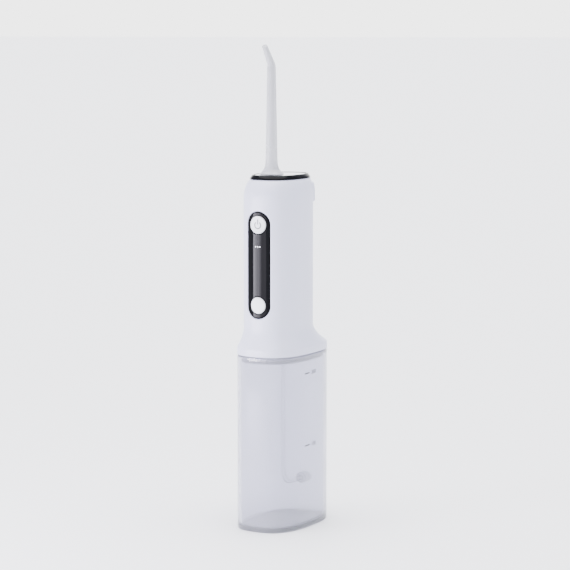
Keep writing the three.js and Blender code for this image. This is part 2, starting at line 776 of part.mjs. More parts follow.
add('circuit_board', circuitBoard(), 'board');
add('power_switch', tactSwitch(POWER_BUTTON.z), 'rubber');
add('mode_switch', tactSwitch(MODE_BUTTON.z), 'rubber');
add('battery_cell', batteryCell(), 'cell');
add('charging_socket', chargingSocket(), 'steel');
add('port_cover', portCover(), 'rubber');
add('motor_lead_red', motorLead(1), 'red');
add('motor_lead_black', motorLead(-1), 'rubber');
add('battery_lead_red', batteryLead(1), 'red');
add('battery_lead_black', batteryLead(-1), 'rubber');

export default flosser;
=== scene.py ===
import json
import math

import bmesh
import bpy
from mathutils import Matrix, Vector


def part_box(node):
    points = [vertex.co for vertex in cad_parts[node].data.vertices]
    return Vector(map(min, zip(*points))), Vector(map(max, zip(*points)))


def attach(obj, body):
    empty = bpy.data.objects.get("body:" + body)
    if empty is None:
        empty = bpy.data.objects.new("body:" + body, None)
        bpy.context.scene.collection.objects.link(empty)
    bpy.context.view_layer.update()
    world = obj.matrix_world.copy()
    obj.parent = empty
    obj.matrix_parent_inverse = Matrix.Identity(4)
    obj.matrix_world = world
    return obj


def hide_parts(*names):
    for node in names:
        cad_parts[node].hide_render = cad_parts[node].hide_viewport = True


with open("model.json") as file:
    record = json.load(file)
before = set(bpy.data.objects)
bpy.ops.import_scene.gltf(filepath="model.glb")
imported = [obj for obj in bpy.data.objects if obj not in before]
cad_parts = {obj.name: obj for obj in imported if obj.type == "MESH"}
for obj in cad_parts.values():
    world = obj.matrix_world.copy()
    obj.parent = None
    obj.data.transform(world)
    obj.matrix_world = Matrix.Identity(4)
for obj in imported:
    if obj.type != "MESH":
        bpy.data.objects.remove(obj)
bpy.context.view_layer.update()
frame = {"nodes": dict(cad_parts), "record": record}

# Lengths are in millimetres until object_from() turns them into metres.
MM = 0.001
SECTION_POINTS = 224  # points round the body's sections


def node_box(name):
    """A CAD node's lowest and highest corners in millimetres."""
    low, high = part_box(name)
    return low / MM, high / MM


# ---- Driving dimensions, from the frame where it shows them ----------------

tank_high = node_box("tank")[1]
shell_low, shell_high = node_box("handle_shell")
ring_low, ring_high = node_box("trim_ring")
panel_low, panel_high = node_box("control_panel")
release_low, release_high = node_box("release_button")
port_low, port_high = node_box("port_cover")

TANK = (tank_high.x, tank_high.y, 0.0, 2.8)  # half X, half Y, centre Y, power
BODY = (17.5, 24.4, -4.75, 2.5)
HEAD = (ring_high.x, (ring_high.y - ring_low.y) / 2, (ring_high.y + ring_low.y) / 2, 2.5)
SKIRT_TOP = 110.3
FLARE_TOP = 122.2
FLARE_POWER = 1.7
SKIRT_ROUNDING = 0.45
SHOULDER_BOTTOM = 198.0
SHOULDER_POWER = 2.8
SHELL_WALL = 2.0
TANK_WALL = 1.8
MARK_LIFT = 0.05  # the level marks stand this far off the tank and end on its CAD face

PANEL_HALF_WIDTH = 7.5
PANEL_FLANGE = 1.4
PANEL_BOTTOM = panel_low.z + PANEL_FLANGE
PANEL_TOP = panel_high.z - PANEL_FLANGE
SEAM = 0.14  # visible gap round what is set into the shell
WINDOW_DEPTH = 6.0  # how far the shell's windows are cut inwards from its skin
RELEASE_RECESS_Y = 7.9  # the release button's window ends on this flat plane instead
POWER_BUTTON = (5.25, 184.4)  # radius, height
MODE_BUTTON = (4.9, 136.4)
BUTTON_PROUD = 0.22
NOZZLE_Y = -12.95
SUCTION_Y = 1.1
CAMERA_AZIMUTH = 30.33


# ---- Mesh helpers ----------------------------------------------------------


def object_from(name, points, faces, smooth=35):
    """A mesh object from points in millimetres."""
    mesh = bpy.data.meshes.new(name)
    mesh.from_pydata([Vector(p) * MM for p in points], [], faces)
    shade(mesh, smooth)
    obj = bpy.data.objects.new(name, mesh)
    bpy.context.scene.collection.objects.link(obj)
    return obj


def shade(mesh, smooth):
    """Smooth shading with sharp edges where faces meet at more than an angle in degrees."""
    mesh.shade_smooth()
    mesh.set_sharp_from_angle(angle=math.radians(smooth))


def loft_faces(ring_count, count, closed):
    """Quads between rings that follow each other."""
    faces = []
    for band in range(ring_count if closed else ring_count - 1):
        low, high = band * count, (band + 1) % ring_count * count
        for i in range(count):
            j = (i + 1) % count
            faces.append((low + i, low + j, high + j, high + i))
    return faces


def loft(name, rings, closed=False, smooth=35):
    """One closed surface through rings of points; an open loft ends in a fan at each end."""
    count = len(rings[0])
    points = [p for ring in rings for p in ring]
    faces = loft_faces(len(rings), count, closed)
    if not closed:
        last = (len(rings) - 1) * count
        for start, turn in ((0, -1), (last, 1)):
            centre = len(points)
            points.append(sum((Vector(p) for p in points[start:start + count]), Vector()) / count)
            for i in range(count):
                pair = (start + i, start + (i + 1) % count)
                faces.append((centre, *pair[::turn]))
    obj = object_from(name, points, faces, smooth)
    merge(obj, smooth)
    return obj


def merge(obj, smooth=35):
    """Joins points that lie on each other, drops what that flattens, and turns faces outwards."""
    bm = bmesh.new()
    bm.from_mesh(obj.data)
    bmesh.ops.remove_doubles(bm, verts=bm.verts, dist=1e-7)
    bmesh.ops.dissolve_degenerate(bm, edges=bm.edges, dist=1e-8)
    bmesh.ops.recalc_face_normals(bm, faces=bm.faces)
    bm.to_mesh(obj.data)
    bm.free()
    shade(obj.data, smooth)


def combine(obj, other, operation, smooth=35):
    """Cuts other out of obj, or joins it, and removes other."""
    modifier = obj.modifiers.new(operation.lower(), "BOOLEAN")
    modifier.operation = operation
    modifier.object = other
    modifier.solver = "EXACT"
    bpy.context.view_layer.update()
    evaluated = obj.evaluated_get(bpy.context.evaluated_depsgraph_get())
    mesh = bpy.data.meshes.new_from_object(evaluated)
    obj.modifiers.clear()
    obj.data = mesh
    bpy.data.objects.remove(other)
    shade(mesh, smooth)
    return obj


def section_at(z):
    """The handle's section at a height: skirt, flare, straight body and shoulder."""
    if z >= SHOULDER_BOTTOM:
        share = (z - SHOULDER_BOTTOM) / (shell_high.z - SHOULDER_BOTTOM)
        return blend_sections(BODY, HEAD, share ** SHOULDER_POWER)
    above = z - SKIRT_TOP
    above = (above + math.sqrt(above * above + SKIRT_ROUNDING ** 2)) / 2
    share = min(1.0, above / (FLARE_TOP - SKIRT_TOP))
    return blend_sections(BODY, TANK, (1 - share) ** FLARE_POWER)


def blend_sections(a, b, share):
    return tuple(p + (q - p) * share for p, q in zip(a, b))


def section_ring(section, z, inset=0.0, count=SECTION_POINTS):
    """Points round a superellipse, moved inwards by inset."""
    half_x, half_y, centre, power = section
    ring = []
    for a in around(count):
        c, s = math.cos(a), math.sin(a)
        x = math.copysign(abs(c) ** (2 / power), c) * (half_x - inset)
        y = math.copysign(abs(s) ** (2 / power), s) * (half_y - inset)
        ring.append(Vector((x, centre + y, z)))
    return ring


def steps(low, high, size):
    """Values from low up to high, no further apart than size."""
    count = max(1, math.ceil((high - low) / size))
    return [low + (high - low) * i / count for i in range(count + 1)]


def around(count):
    """Angles evenly round a full turn."""
    return [2 * math.pi * i / count for i in range(count)]


def round_ring(radius, centre_y, z, count):
    """Points round a level circle whose centre is at x 0."""
    return [Vector((radius * math.cos(a), centre_y + radius * math.sin(a), z)) for a in around(count)]


def quarter(count=5):
    """(sine, 1 - cosine) over a quarter turn: the two offsets of a rounded edge."""
    return [(math.sin(t), 1 - math.cos(t)) for t in steps(0, math.pi / 2, math.pi / 2 / count)]


def front_skin(x, z, depth=0.0):
    """The point of the handle's front at x and z, moved inwards by depth."""
    half_x, half_y, centre, power = section_at(z)
    share = min(1.0, abs(x / (half_x - depth)) ** power)
    return Vector((x, centre - (half_y - depth) * (1 - share) ** (1 / power), z))


def rear_skin(x, z, depth=0.0):
    """The point of the handle's rear at x and z, moved inwards by depth."""
    point = front_skin(x, z, depth)
    point.y = 2 * section_at(z)[2] - point.y
    return point


def set_in(name, outline, spine, profile, skin, inner=10, smooth=35):
    """A solid set into a curved surface.

    outline(share) gives its edge as (u, v), with share from 0 to 1 round it, and spine(u, v) the
    nearest point of its middle line. profile lists (grow, depth) from the front face's edge round the
    side to the back face's edge. skin(u, v, depth) places each point. Each face has inner rings."""
    count = 120
    edge = [outline(i / count) for i in range(count)]
    middle = [spine(u, v) for u, v in edge]

    def ring(grow, depth, share=1.0):
        points = []
        for (u, v), (mu, mv) in zip(edge, middle):
            du, dv = u - mu, v - mv
            size = math.hypot(du, dv)
            reach = share * (1 + grow / size)
            points.append(skin(mu + du * reach, mv + dv * reach, depth))
        return points

    front, back = profile[0], profile[-1]
    rings = [ring(*front, share=i / inner) for i in range(inner)]
    rings += [ring(grow, depth) for grow, depth in profile]
    rings += [ring(*back, share=1 - i / inner) for i in range(1, inner + 1)]
    points = [p for r in rings for p in r]
    obj = object_from(name, points, loft_faces(len(rings), count, False), smooth)
    merge(obj, smooth)
    return obj


def circle(radius, z):
    """Outline and middle point of a circle."""

    def outline(share):
        angle = 2 * math.pi * share
        return radius * math.cos(angle), z + radius * math.sin(angle)

    return outline, lambda u, v: (0.0, z)


def rounded(half_width, bottom, top, corner):
    """Outline and middle line of a rounded rectangle. The line runs along its longer side."""
    half_height, middle = (top - bottom) / 2, (top + bottom) / 2

    def outline(share):
        angle = 2 * math.pi * share
        c, s = math.cos(angle), math.sin(angle)
        reach = min(half_width / max(abs(c), 1e-9), half_height / max(abs(s), 1e-9))
        u, v = reach * c, reach * s
        inner_u, inner_v = half_width - corner, half_height - corner
        if abs(u) > inner_u and abs(v) > inner_v:
            cu, cv = math.copysign(inner_u, u), math.copysign(inner_v, v)
            du, dv = u - cu, v - cv
            scale = corner / math.hypot(du, dv)
            u, v = cu + du * scale, cv + dv * scale
        return u, middle + v

    def spine(u, v):
        spare = half_width - half_height
        if spare > 0:
            return max(-spare, min(spare, u)), middle
        return 0.0, max(middle + spare, min(middle - spare, v))

    return outline, spine


def stadium(half_width, bottom, top):
    """Outline and middle line of an upright slot. A third of the points is on each side and a sixth
    round each end, so that points on the two sides face each other across the middle line."""
    low, high = bottom + half_width, top - half_width

    def outline(share):
        if share < 1 / 3:
            return half_width, low + (high - low) * share * 3
        if share < 1 / 2:
            angle = 6 * math.pi * (share - 1 / 3)
            return half_width * math.cos(angle), high + half_width * math.sin(angle)
        if share < 5 / 6:
            return -half_width, high - (high - low) * (share - 1 / 2) * 3
        angle = math.pi + 6 * math.pi * (share - 5 / 6)
        return half_width * math.cos(angle), low + half_width * math.sin(angle)

    return outline, lambda u, v: (0.0, max(low, min(high, v)))


def edge_profile(radius, proud=0.0, back=2.0):
    """(grow, depth) round a solid's edge: rounded at the front, straight to the back."""
    front = [(radius * (s - 1), radius * c - proud) for s, c in quarter(6)]
    return front + [(0, back)]


def window_profile(radius):
    """(grow, depth) round what cuts a window with a rounded rim out of a wall. The rim starts a little
    above the skin, so that the cut crosses it at an angle."""
    start = [(SEAM + radius + 0.01, -1.0), (SEAM + radius, -0.06 * radius)]
    rim = [(SEAM + radius * (1 - s), radius * c) for s, c in quarter(6)[1:]]
    return start + rim + [(SEAM, WINDOW_DEPTH)]


def tube_along(name, points, radius, bore=0.0, sides=32, spacing=0.6):
    """A round tube along a smooth curve through points, with an open bore if one is given."""
    line = smooth_line(points, spacing)
    frames = turning_frames(line)

    def rings(size):
        return [
            [p + (u * math.cos(a) + v * math.sin(a)) * size for a in around(sides)]
            for p, u, v in frames
        ]

    if bore:
        return loft(name, rings(radius) + rings(bore)[::-1], closed=True)
    return loft(name, rings(radius))


def smooth_line(points, spacing):
    """Points about spacing apart along a Catmull-Rom curve."""
    p = [Vector(q) for q in points]
    p = [p[0] * 2 - p[1]] + p + [p[-1] * 2 - p[-2]]
    line = []
    for a, b, c, d in zip(p, p[1:], p[2:], p[3:]):
        count = max(2, round((c - b).length / spacing))
        for i in range(count):
            t = i / count
            line.append(0.5 * (
                2 * b + (c - a) * t + (2 * a - 5 * b + 4 * c - d) * t * t
                + (3 * b - a - 3 * c + d) * t ** 3
            ))
    line.append(p[-2])
    return line


def turning_frames(line):
    """(point, across, up) at each point of a line, turning as little as possible."""
    last = len(line) - 1
    ahead = [(line[min(i + 1, last)] - line[max(i - 1, 0)]).normalized() for i in range(last + 1)]
    u = ahead[0].orthogonal().normalized()
    frames = []
    for point, direction in zip(line, ahead):
        u = (u - direction * u.dot(direction)).normalized()
        frames.append((point, u, direction.cross(u)))
    return frames


# ---- Materials -------------------------------------------------------------


class Look:
    """A node material built around one Principled shader. Noise scales are in features per metre."""

    def __init__(self, name, color, roughness, **sockets):
        self.material = bpy.data.materials.new(name)
        self.material.use_nodes = True
        self.nodes = self.material.node_tree.nodes
        self.links = self.material.node_tree.links
        self.shader = self.nodes["Principled BSDF"]
        self.color = (*color, 1.0)
        self.shader.inputs["Base Color"].default_value = self.color
        self.shader.inputs["Roughness"].default_value = roughness
        for socket, value in sockets.items():
            self.shader.inputs[socket.replace("_", " ")].default_value = value
        self.place = self.nodes.new("ShaderNodeTexCoord").outputs["Object"]
        self.normal = None

    def noise(self, scale, detail=3.0, stretch=(1, 1, 1)):
        """Noise over the object's own coordinates."""
        mapping = self.nodes.new("ShaderNodeMapping")
        mapping.inputs["Scale"].default_value = stretch
        self.links.new(self.place, mapping.inputs["Vector"])
        texture = self.nodes.new("ShaderNodeTexNoise")
        texture.inputs["Scale"].default_value = scale
        texture.inputs["Detail"].default_value = detail
        self.links.new(mapping.outputs["Vector"], texture.inputs["Vector"])
        return texture.outputs["Fac"]

    def spread(self, value, low, high):
        """Maps the noise's middle part onto a range of values."""
        node = self.nodes.new("ShaderNodeMapRange")
        node.inputs["From Min"].default_value = 0.3
        node.inputs["From Max"].default_value = 0.7
        node.inputs["To Min"].default_value = low
        node.inputs["To Max"].default_value = high
        self.links.new(value, node.inputs["Value"])
        return node.outputs["Result"]

    def vary_roughness(self, scale, low, high, **options):
        """Lets the roughness drift between two values."""
        value = self.spread(self.noise(scale, **options), low, high)
        self.links.new(value, self.shader.inputs["Roughness"])
        return self

    def vary_color(self, scale, other, **options):
        """Lets the colour drift between the base colour and another."""
        mix = self.nodes.new("ShaderNodeMix")
        mix.data_type = "RGBA"
        mix.inputs["A"].default_value = self.color
        mix.inputs["B"].default_value = (*other, 1.0)
        share = self.spread(self.noise(scale, **options), 0.0, 1.0)
        self.links.new(share, mix.inputs["Factor"])
        self.links.new(mix.outputs["Result"], self.shader.inputs["Base Color"])
        return self

    def bump(self, scale, height, strength=1.0, **options):
        """Adds relief of a height in millimetres."""
        node = self.nodes.new("ShaderNodeBump")
        node.inputs["Strength"].default_value = strength
        node.inputs["Distance"].default_value = height * MM
        self.links.new(self.noise(scale, **options), node.inputs["Height"])
        if self.normal:
            self.links.new(self.normal, node.inputs["Normal"])
        self.normal = node.outputs["Normal"]
        self.links.new(self.normal, self.shader.inputs["Normal"])
        return self


def make_looks():
    """All materials by name: the record's slots, and variants that some pieces take instead."""
    looks = {}

    def look(name, *args, **sockets):
        looks[name] = Look(name, *args, **sockets)
        return looks[name]

    satin = dict(Specular_IOR_Level=0.5, Coat_Weight=0.0)
    (look("shell_white", (0.65, 0.66, 0.80), 0.36, **satin)
     .vary_roughness(60, 0.33, 0.41).vary_color(25, (0.635, 0.645, 0.785))
     .bump(2600, 0.004, 0.5, detail=2.0))
    # painted shade: a darker, less blue copy of shell_white, so that the collar under the handle looks
    # shaded
    (look("collar_painted_shade", (0.50, 0.505, 0.56), 0.42, **satin)
     .vary_roughness(60, 0.38, 0.48).vary_color(25, (0.485, 0.49, 0.545))
     .bump(2600, 0.004, 0.5, detail=2.0))
    (look("cap_white", (0.87, 0.87, 0.89), 0.3, **satin)
     .vary_roughness(90, 0.26, 0.36).vary_color(40, (0.85, 0.85, 0.875)).bump(2600, 0.003, 0.4))
    (look("button_white", (0.75, 0.755, 0.78), 0.3, **satin)
     .vary_roughness(120, 0.26, 0.36).vary_color(60, (0.735, 0.74, 0.765)).bump(2600, 0.003, 0.4))
    (look("gloss_black", (0.002, 0.002, 0.003), 0.07, Specular_IOR_Level=0.05)
     .vary_roughness(45, 0.05, 0.08).vary_color(30, (0.003, 0.003, 0.004))
     .bump(60, 0.002, 0.2, detail=0.0))
    (look("trim_black", (0.003, 0.003, 0.004), 0.12, Specular_IOR_Level=0.05)
     .vary_roughness(90, 0.08, 0.2).vary_color(60, (0.005, 0.005, 0.006)).bump(160, 0.02, 0.4))
    (look("tank_frosted", (0.75, 0.755, 0.86), 0.05, Transmission_Weight=0.8, IOR=1.45)
     .vary_roughness(40, 0.035, 0.07).bump(400, 0.003, 0.15))
    (look("nozzle_clear", (0.67, 0.675, 0.71), 0.24, Transmission_Weight=0.4, IOR=1.45)
     .vary_roughness(80, 0.18, 0.28).bump(700, 0.003, 0.3))
    (look("clear_hose", (0.99, 0.99, 1.0), 0.12, Transmission_Weight=0.94, IOR=1.12)
     .vary_roughness(80, 0.1, 0.2).bump(900, 0.003, 0.3))
    (look("strainer_pale", (0.95, 0.95, 0.98), 0.25, Transmission_Weight=0.75, IOR=1.2)
     .vary_roughness(120, 0.28, 0.42).bump(900, 0.004, 0.4))
    glow = dict(Emission_Color=(0.9, 0.93, 1.0, 1.0), Emission_Strength=0.25)
    (look("light_pipe", (0.92, 0.93, 0.97), 0.25, **glow)
     .vary_roughness(200, 0.2, 0.3))
    (look("inner_plastic", (0.46, 0.47, 0.50), 0.55)
     .vary_roughness(70, 0.48, 0.62).vary_color(50, (0.42, 0.43, 0.46)).bump(1500, 0.01, 0.6))
    (look("pale_acetal", (0.76, 0.72, 0.60), 0.4)
     .vary_roughness(90, 0.34, 0.48).vary_color(70, (0.72, 0.68, 0.56)).bump(1500, 0.005, 0.5))
    (look("dark_rubber", (0.022, 0.022, 0.024), 0.75)
     .vary_roughness(120, 0.65, 0.85).bump(2500, 0.01, 0.7))
    (look("white_rubber", (0.70, 0.70, 0.74), 0.6)
     .vary_roughness(120, 0.52, 0.7).bump(2500, 0.008, 0.6))
    # painted shade: the white rubber seal is shown dark grey so that it draws a dark line in the seam
    (look("seal_painted_shade", (0.10, 0.10, 0.12), 0.55)
     .vary_roughness(120, 0.48, 0.65).bump(2500, 0.008, 0.6))
    (look("steel", (0.56, 0.57, 0.58), 0.3, Metallic=1.0)
     .vary_roughness(60, 0.22, 0.4, stretch=(1, 1, 14)).bump(400, 0.004, 0.4, stretch=(1, 1, 20)))
    (look("brass", (0.70, 0.50, 0.22), 0.28, Metallic=1.0)
     .vary_roughness(150, 0.2, 0.36).bump(900, 0.003, 0.4))
    (look("board_green", (0.012, 0.11, 0.045), 0.35)
     .vary_roughness(200, 0.25, 0.45).vary_color(300, (0.02, 0.15, 0.06)).bump(1800, 0.01, 0.6))
    (look("cell_wrap", (0.03, 0.11, 0.34), 0.28)
     .vary_roughness(60, 0.22, 0.36).vary_color(30, (0.035, 0.13, 0.38)).bump(160, 0.02, 0.5))
    (look("switch_black", (0.016, 0.016, 0.018), 0.5)
     .vary_roughness(120, 0.42, 0.58).bump(2200, 0.006, 0.5))
    (look("lead_red", (0.42, 0.02, 0.015), 0.4)
     .vary_roughness(200, 0.32, 0.48).bump(900, 0.005, 0.4))
    (look("lead_black", (0.015, 0.015, 0.016), 0.4)
     .vary_roughness(200, 0.32, 0.48).bump(900, 0.005, 0.4))
    (look("print_grey", (0.05, 0.05, 0.06), 0.5)
     .vary_roughness(300, 0.42, 0.58).vary_color(900, (0.07, 0.07, 0.08)))
    return {name: made.material for name, made in looks.items()}


LOOKS = make_looks()


def finish_piece(obj, body, slot, *nodes, look=None):
    """Gives a piece its body and its material, which is the slot's unless look names another, and hides
    the CAD nodes that it stands for."""
    obj.data.materials.clear()
    obj.data.materials.append(LOOKS[look or slot])
    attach(obj, body)
    if nodes:
        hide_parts(*nodes)
    return obj


# ---- Tank ------------------------------------------------------------------


def make_tank():
    """One wall with a rounded floor and rim: up the outside, over the rim and down the inside."""
    corner, inner_corner, rim, skin = 1.0, 2.5, 0.6, MARK_LIFT
    top = tank_high.z
    rings = [section_ring(TANK, corner * c, skin + corner * (1 - s)) for s, c in quarter()]
    rings += [section_ring(TANK, z, skin) for z in steps(corner, top - rim, 2.0)[1:]]
    rings += [section_ring(TANK, top - rim + rim * s, skin + rim * c) for s, c in quarter()[1:]]
    rings += [section_ring(TANK, top - rim * c, TANK_WALL - rim + rim * s) for s, c in quarter()]
    floor_corner = TANK_WALL + inner_corner
    rings += [section_ring(TANK, z, TANK_WALL) for z in steps(floor_corner, top - rim, 2.0)[-2::-1]]
    rings += [
        section_ring(TANK, floor_corner - inner_corner * s, TANK_WALL + inner_corner * c)
        for s, c in quarter()[1:]
    ]
    return finish_piece(loft("tank_wall", rings), "tank", "tank_frosted", "tank")


def make_collar():
    """The handle's base: a plate whose collar goes down into the tank's mouth."""
    low, high = node_box("base_plate")
    inset = TANK[0] - high.x
    plate, wall, edge = 105.0, 2.0, 0.3
    groove_low, groove_high, groove = 101.9, 103.9, 0.8
    rim, overlap = inset + 12, 0.5  # where the plate's rim ends, and how far the disc reaches into it
    profile = [(low.z, inset + wall), (low.z, inset + edge), (low.z + edge, inset)]
    profile += [(groove_low, inset), (groove_low, inset + groove), (groove_high, inset + groove)]
    profile += [(groove_high, inset), (high.z, inset), (high.z, rim), (plate, rim)]
    profile += [(plate, inset + wall + 1), (plate - 1, inset + wall)]
    collar = loft("base_collar", [section_ring(TANK, z, i, 160) for z, i in profile], closed=True)
    disc = loft("base_disc", [section_ring(TANK, z, rim - overlap, 96) for z in (plate, high.z)])
    combine(collar, disc, "UNION")
    hole = loft("suction_hole", [round_ring(2.0, SUCTION_Y, z, 32) for z in (plate - 2, high.z + 2)])
    combine(collar, hole, "DIFFERENCE")
    # the collar is the shell's white plastic; its darker look is painted shade
    return finish_piece(collar, "handle", "shell_white", "base_plate", look="collar_painted_shade")


def make_gasket():
    """The seal round the collar: a narrow band with a softened lip at its top."""
    low, high = node_box("base_gasket")
    lip_low, lip_edge = high.z - 0.7, 0.15
    outer = TANK[0] - high.x
    band, inner = outer + 0.5, outer + 0.85
    profile = [(low.z, inner), (low.z, band), (lip_low - 0.2, band), (lip_low, outer + lip_edge)]
    profile += [(lip_low + lip_edge, outer), (high.z - lip_edge, outer)]
    profile += [(high.z, outer + lip_edge), (high.z, inner)]
    gasket = loft("base_seal", [section_ring(TANK, z, i, 160) for z, i in profile], closed=True)
    # the seal's slot is white rubber; its dark grey look is painted shade that draws the seam's second
    # dark line
    return finish_piece(gasket, "handle", "white_rubber", "base_gasket", look="seal_painted_shade")


def make_suction():
    """The pipe from the pump down into the tank, with a strainer on its end near the floor."""
    filter_low, filter_high = node_box("suction_filter")
    strainer_z = (filter_low.z + filter_high.z) / 2
    run, y = 109.2, SUCTION_Y
    route = [(0, -19.1, run), (0, -10, run), (0, y - 2.6, run), (0, y - 0.6, run - 0.6)]
    route += [(0, y, run - 2.6), (0, y, 95), (0, y, 65), (0, y, strainer_z + 12)]
    route += [(0, y + 1.6, strainer_z + 4.5), (0, y + 6, strainer_z + 0.7)]
    route += [(0, y + 12, strainer_z), (0, 22, strainer_z)]
    pipe = tube_along("suction_pipe", route, 1.5, 0.9, sides=28, spacing=1.0)
    finish_piece(pipe, "handle", "clear_hose", "suction_tube")

    radius = (filter_high.x - filter_low.x) / 2
    waist = radius - 0.35
    profile = [(20.5, 1.8), (20.5, 2.4), (20.7, 2.6), (22.1, 2.6), (22.3, 3.0)]
    profile += [(22.3, radius - 0.3), (22.6, radius)]
    for groove in (24.0, 25.6):
        profile += [(groove, radius), (groove + 0.3, waist)]
        profile += [(groove + 0.7, waist), (groove + 1.0, radius)]
    profile += [(28.2, radius), (28.6, radius - 0.5), (28.6, 1.1), (27.4, 1.1), (27.4, 0.95)]
    profile += [(22.2, 0.95), (22.2, 1.8)]
    strainer = lathe_y("suction_strainer", profile, strainer_z)
    finish_piece(strainer, "handle", "inner_plastic", "suction_filter", look="strainer_pale")


def lathe_y(name, profile, z, sides=48):
    """A closed profile of (y, radius) turned about a line along Y at x 0 and height z."""
    rings = [
        [Vector((radius * math.cos(a), y, z + radius * math.sin(a))) for a in around(sides)]
        for y, radius in profile
    ]
    return loft(name, rings, closed=True)


# ---- Handle shell ----------------------------------------------------------

PANEL_OUTLINE = stadium(PANEL_HALF_WIDTH, PANEL_BOTTOM, PANEL_TOP)
RELEASE_OUTLINE = rounded(release_high.x, release_low.z, release_high.z, 1.6)
PORT_OUTLINE = rounded(port_high.x, port_low.z, port_high.z, 1.8)


def make_shell():
    """The casing, open at its bottom and top, with windows for the panel, release button and port."""
    bottom, top, edge, rim = shell_low.z, shell_high.z, 0.5, 0.5
    bend = SKIRT_TOP - 1.5  # the rings are closer together from here up through the flare
    foot = section_at(bottom)
    rings = [section_ring(foot, bottom + edge * c, edge * (1 - s)) for s, c in quarter()]
    heights = steps(bottom + edge, bend, 1.0)[1:]
    heights += steps(bend, FLARE_TOP, 0.35)[1:]
    heights += steps(FLARE_TOP, SHOULDER_BOTTOM, 1.6)[1:]
    heights += steps(SHOULDER_BOTTOM, top - rim, 0.35)[1:]
    rings += [section_ring(section_at(z), z) for z in heights]
    rings += [section_ring(section_at(top), top - rim + rim * s, rim * c) for s, c in quarter()[1:]]
    inner = steps(bottom, SKIRT_TOP, 2.0) + steps(SKIRT_TOP, FLARE_TOP, 1.2)[1:]
    inner += [SHOULDER_BOTTOM] + steps(SHOULDER_BOTTOM, top, 1.4)[1:]
    rings += [section_ring(section_at(z), z, SHELL_WALL) for z in inner[::-1]]
    shell = loft("handle_casing", rings, closed=True)

    for name, outline, rounding, skin in (
        ("panel_window", PANEL_OUTLINE, 0.7, front_skin),
        ("release_window", RELEASE_OUTLINE, 0.35, release_reach),
        ("port_window", PORT_OUTLINE, 0.3, rear_skin),
    ):
        combine(shell, set_in(name, *outline, window_profile(rounding), skin), "DIFFERENCE")
    return finish_piece(shell, "handle", "shell_white", "handle_shell")


def release_reach(x, z, depth):
    """Follows the rear skin, and ends on a flat plane where the window is deepest."""
    if depth < WINDOW_DEPTH:
        return rear_skin(x, z, depth)
    return Vector((x, RELEASE_RECESS_Y, z))


def make_panel():
    """The glossy panel: a rounded face, a flange behind the shell and a hole for each button."""
    behind, back, edge = SHELL_WALL + 0.25, SHELL_WALL + 1.1, 0.2
    profile = edge_profile(0.22, back=behind)
    profile += [(PANEL_FLANGE - edge, behind), (PANEL_FLANGE, behind + edge), (PANEL_FLANGE, back)]
    panel = set_in("panel_glass", *PANEL_OUTLINE, profile, front_skin, inner=14)
    for name, (radius, z) in (("power_hole", POWER_BUTTON), ("mode_hole", MODE_BUTTON)):
        hole = set_in(name, *circle(radius, z), window_profile(0.15), front_skin)
        combine(panel, hole, "DIFFERENCE")
    finish_piece(panel, "handle", "gloss_black", "control_panel")


def make_indicators():
    """Three small lenses that stand a little proud of the panel."""
    profile = edge_profile(0.08, proud=0.03, back=2.8)
    for side in ("left", "middle", "right"):
        low, high = node_box(f"indicator_{side}")
        x, z, radius = (low.x + high.x) / 2, (low.z + high.z) / 2, (high.x - low.x) / 2

        def skin(u, v, depth):
            return front_skin(x + u, v, depth)

        lens = set_in(f"indicator_lens_{side}", *circle(radius, z), profile, skin, inner=3)
        finish_piece(lens, "handle", "light_pipe", f"indicator_{side}")


def make_button(name, node, radius, z):
    """A round button with a shallow dished face and a flange behind the panel. Returns its skin."""
    shoulder, back, flange = SHELL_WALL + 1.4, SHELL_WALL + 2.2, 0.9
    face_depth, dish = 0.5, 0.16
    profile = edge_profile(0.45, proud=BUTTON_PROUD, back=shoulder)
    profile += [(flange, shoulder), (flange, back)]

    def skin(u, v, depth):
        away = math.hypot(u, v - z) / radius
        if depth < face_depth:
            depth += dish * max(0.0, 1 - away * away)
        return front_skin(u, v, depth)

    button = set_in(name, *circle(radius, z), profile, skin)
    finish_piece(button, node, "button_white", node)
    return skin


def make_power_mark(skin, z):
    """A ring open at the top with a bar in the opening, printed on the power button."""
    radius, half_stroke, opening = 2.0, 0.31, math.radians(36)
    centre = z - 0.2
    sunk, lift = 0.06 - BUTTON_PROUD, -0.02 - BUTTON_PROUD  # depths inside and outside the button's face
    corners = [(half_stroke, lift), (half_stroke, sunk), (-half_stroke, sunk), (-half_stroke, lift)]

    def bar(name, stations):
        """A printed line through stations, each a place and the direction across the line there."""
        rings = [
            [skin(u + du * across, v + dv * across, depth) for across, depth in corners]
            for (u, v), (du, dv) in stations
        ]
        finish_piece(loft(name, rings), "power_button", "button_white", look="print_grey")

    stations = []
    for turn in steps(math.pi / 2 + opening, 2.5 * math.pi - opening, 0.06):
        c, s = math.cos(turn), math.sin(turn)
        stations.append(((radius * c, centre + radius * s), (c, s)))
    bar("power_mark_ring", stations)
    bar("power_mark_bar", [((0.0, z + height), (1.0, 0.0)) for height in steps(0.2, 3.2, 0.3)])


def make_trim():
    """The black ring round the head: a short upright foot, then a slope up to a flat lip."""
    low, high = ring_low.z, ring_high.z
    foot, slope, width, soft = low + 0.5, 1.45, 2.3, 0.1
    profile = [(low, width), (low, soft), (low + soft, 0), (foot - soft, 0), (foot + soft, soft)]
    profile += [(high - soft, slope - soft), (high, slope + soft)]
    profile += [(high, width - soft), (high - soft, width)]
    trim = loft("head_trim", [section_ring(HEAD, z, inset) for z, inset in profile], closed=True)
    finish_piece(trim, "handle", "gloss_black", "trim_ring", look="trim_black")


